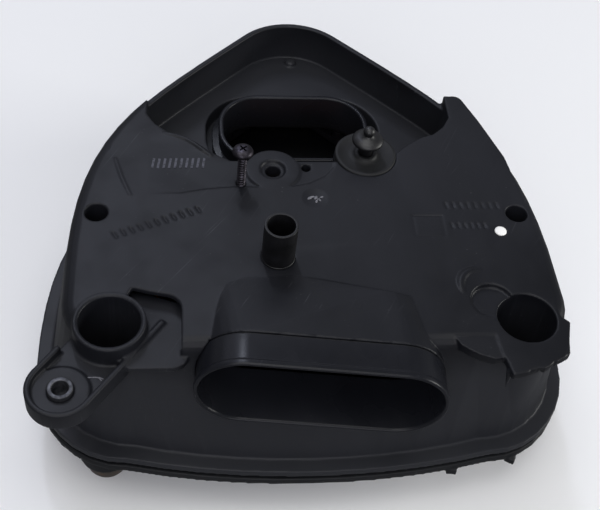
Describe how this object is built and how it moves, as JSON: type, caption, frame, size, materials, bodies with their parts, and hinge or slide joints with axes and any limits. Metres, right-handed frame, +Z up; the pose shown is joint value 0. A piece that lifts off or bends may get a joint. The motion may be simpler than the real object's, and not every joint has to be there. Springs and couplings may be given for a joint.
{
  "type": "air filter housing",
  "caption": "Moulded engine air filter case with a rounded arrowhead plan, wide inlet mouth, oval outlet funnel, mounting arm and a lift-out pleated panel filter.",
  "frame": {"origin": "centre of the base cover's flat underside, on the case's centre line", "axes": "+X across the case, with the mounting arm on the -X side; +Y towards the nose and the outlet; +Z up, out of the deck"},
  "size_m": [0.256, 0.2635, 0.1281],
  "materials": {
    "case_plastic": "moulded talc-filled polypropylene, satin with fine grain",
    "spigot_rubber": "moulded rubber, matt",
    "seal_rubber": "moulded rubber, matt",
    "insert_brass": "turned brass",
    "stud_plastic": "moulded nylon, slight gloss",
    "grommet_rubber": "moulded rubber, satin",
    "screw_steel": "zinc plated, dulled to dark grey",
    "sleeve_steel": "turned steel, dull",
    "white_nylon": "moulded nylon",
    "grid_steel": "galvanised wire",
    "frame_foam": "cast polyurethane foam",
    "filter_paper": "resin-treated pleated paper",
    "bush_rubber": "amber polyurethane",
    "clip_steel": "yellow zinc plated spring wire"
  },
  "bodies": {
    "base": {"base_cover": "case_plastic", "case_gasket": "seal_rubber", "seat_plate": "case_plastic", "support_grid": "grid_steel", "base_inserts": "insert_brass", "flange_screws": "screw_steel", "frame_bushes": "bush_rubber"},
    "upper": {"upper_case": "case_plastic", "mounting_arm": "case_plastic", "inlet_collar": "case_plastic", "collar_seal": "seal_rubber", "funnel": "case_plastic", "funnel_seal": "seal_rubber", "breather_spigot": "spigot_rubber", "boss_insert": "insert_brass", "snap_stud": "stud_plastic", "stud_grommet": "grommet_rubber", "arm_sleeve": "sleeve_steel", "case_screws": "screw_steel", "deck_plug": "white_nylon"},
    "element": {"filter_frame": "frame_foam", "filter_media": "filter_paper"},
    "screw": {"loose_screw": "screw_steel"},
    "cap": {"drain_cap": "seal_rubber", "drain_clip": "clip_steel"}
  },
  "joints": [
    {"name": "case_lift", "type": "slide", "parent": "base", "child": "upper", "axis": [0, 0, 1], "range_m": [0, 0.12]},
    {"name": "element_lift", "type": "slide", "parent": "base", "child": "element", "axis": [0, 0, 1], "range_m": [0, 0.054]},
    {"name": "loose_screw_drive", "type": "slide", "parent": "upper", "child": "screw", "axis": [0, 0, 1], "range_m": [-0.0188, 0.012]},
    {"name": "drain_pull", "type": "slide", "parent": "base", "child": "cap", "axis": [0, 1, 0], "range_m": [0, 0.022]}
  ],
  "couplings": [
    {"joint": "element_lift", "follows": "case_lift", "ratio": 0.45}
  ]
}
